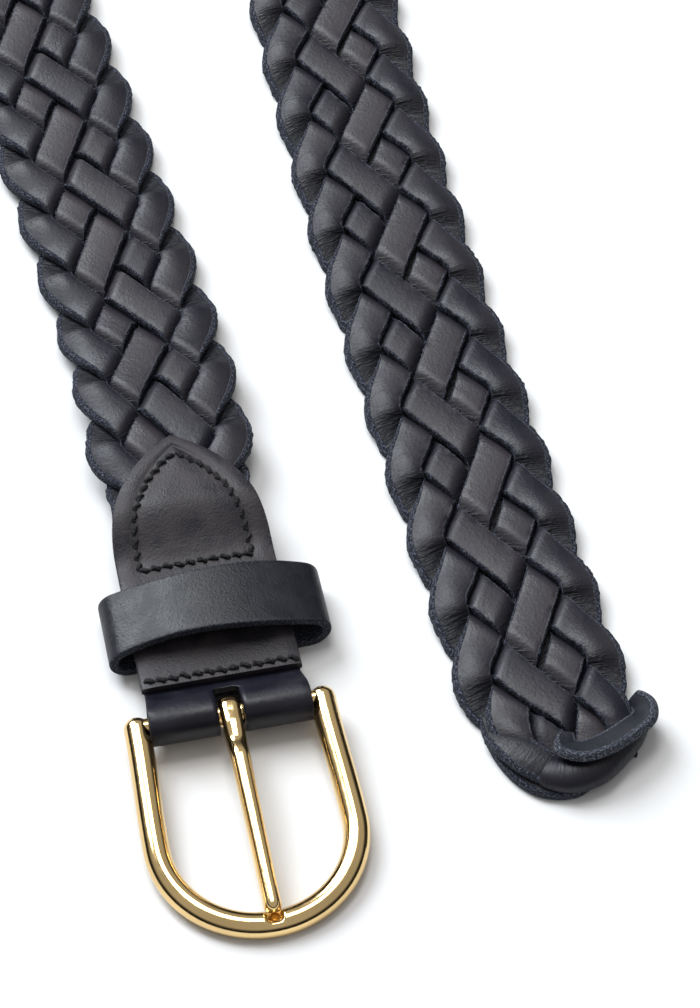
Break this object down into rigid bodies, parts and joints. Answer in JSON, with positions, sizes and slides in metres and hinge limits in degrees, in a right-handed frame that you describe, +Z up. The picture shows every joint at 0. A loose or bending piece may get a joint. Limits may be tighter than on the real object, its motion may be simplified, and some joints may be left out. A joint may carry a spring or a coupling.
{
  "type": "braided leather belt",
  "caption": "Braided leather belt with a stitched pointed tab, a leather keeper, and a brass horseshoe frame buckle with a prong; it lies flat in an open loop.",
  "frame": {"origin": "centre of the outline seen from above, on the surface the belt lies on", "axes": "+Y from the buckle and tip towards the loop, along the two runs; +Z up, out of the belt's front face; +X from the buckle run towards the tip run"},
  "size_m": [0.2033, 0.532, 0.0143],
  "materials": {
    "strand_leather": "smooth matte-satin grain, raw blue-grey cut edges",
    "tab_leather": "matte, fine grain",
    "ply_leather": "smooth satin",
    "keeper_leather": "satin, fine embossed grain, black raw edges",
    "thread": "heavy waxed twisted thread",
    "brass": "polished"
  },
  "bodies": {
    "strap": {"strand_1_loop": "strand_leather", "strand_2_loop": "strand_leather", "strand_3_loop": "strand_leather", "strand_4_loop": "strand_leather", "strand_5_loop": "strand_leather", "strand_6_loop": "strand_leather"},
    "buckle_end": {"strand_1_buckle_run": "strand_leather", "strand_2_buckle_run": "strand_leather", "strand_3_buckle_run": "strand_leather", "strand_4_buckle_run": "strand_leather", "strand_5_buckle_run": "strand_leather", "strand_6_buckle_run": "strand_leather", "strand_1_buckle_bend": "strand_leather", "strand_2_buckle_bend": "strand_leather", "strand_3_buckle_bend": "strand_leather", "strand_4_buckle_bend": "strand_leather", "strand_5_buckle_bend": "strand_leather", "strand_6_buckle_bend": "strand_leather", "folded_ply": "ply_leather", "pointed_tab": "tab_leather", "arch_stitching": "thread", "fold_stitching": "thread"},
    "tip_end": {"strand_1_tip_run": "strand_leather", "strand_2_tip_run": "strand_leather", "strand_3_tip_run": "strand_leather", "strand_4_tip_run": "strand_leather", "strand_5_tip_run": "strand_leather", "strand_6_tip_run": "strand_leather", "strand_1_tip_bend": "strand_leather", "strand_2_tip_bend": "strand_leather", "strand_3_tip_bend": "strand_leather", "strand_4_tip_bend": "strand_leather", "strand_5_tip_bend": "strand_leather", "strand_6_tip_bend": "strand_leather", "tucked_ends": "strand_leather", "rolled_end": "strand_leather"},
    "keeper": {"keeper": "keeper_leather"},
    "buckle": {"buckle_frame": "brass", "buckle_bar": "brass"},
    "prong": {"prong": "brass"}
  },
  "joints": [
    {"name": "buckle_end_flex", "type": "hinge", "parent": "strap", "child": "buckle_end", "pos_m": [-0.03427, -0.04325, 0.0024], "axis": [-0.998, -0.0636, 0], "range_deg": [-30, 60], "deforming": ["strand_1_buckle_bend", "strand_2_buckle_bend", "strand_3_buckle_bend", "strand_4_buckle_bend", "strand_5_buckle_bend", "strand_6_buckle_bend"]},
    {"name": "tip_end_flex", "type": "hinge", "parent": "strap", "child": "tip_end", "pos_m": [0.03377, -0.07427, 0.0024], "axis": [-0.9996, 0.0282, 0], "range_deg": [-30, 70], "deforming": ["strand_1_tip_bend", "strand_2_tip_bend", "strand_3_tip_bend", "strand_4_tip_bend", "strand_5_tip_bend", "strand_6_tip_bend"]},
    {"name": "keeper_slide", "type": "slide", "parent": "buckle_end", "child": "keeper", "axis": [0.0384, 0.9993, 0], "range_m": [-0.003, 0.005]},
    {"name": "buckle_hinge", "type": "hinge", "parent": "buckle_end", "child": "buckle", "pos_m": [-0.03447, -0.21309, 0.0062], "axis": [-0.9993, 0.0384, 0], "range_deg": [-30, 30]},
    {"name": "prong_hinge", "type": "hinge", "parent": "buckle", "child": "prong", "pos_m": [-0.03447, -0.21309, 0.0062], "axis": [-0.9993, 0.0384, 0], "range_deg": [0, 90]}
  ]
}
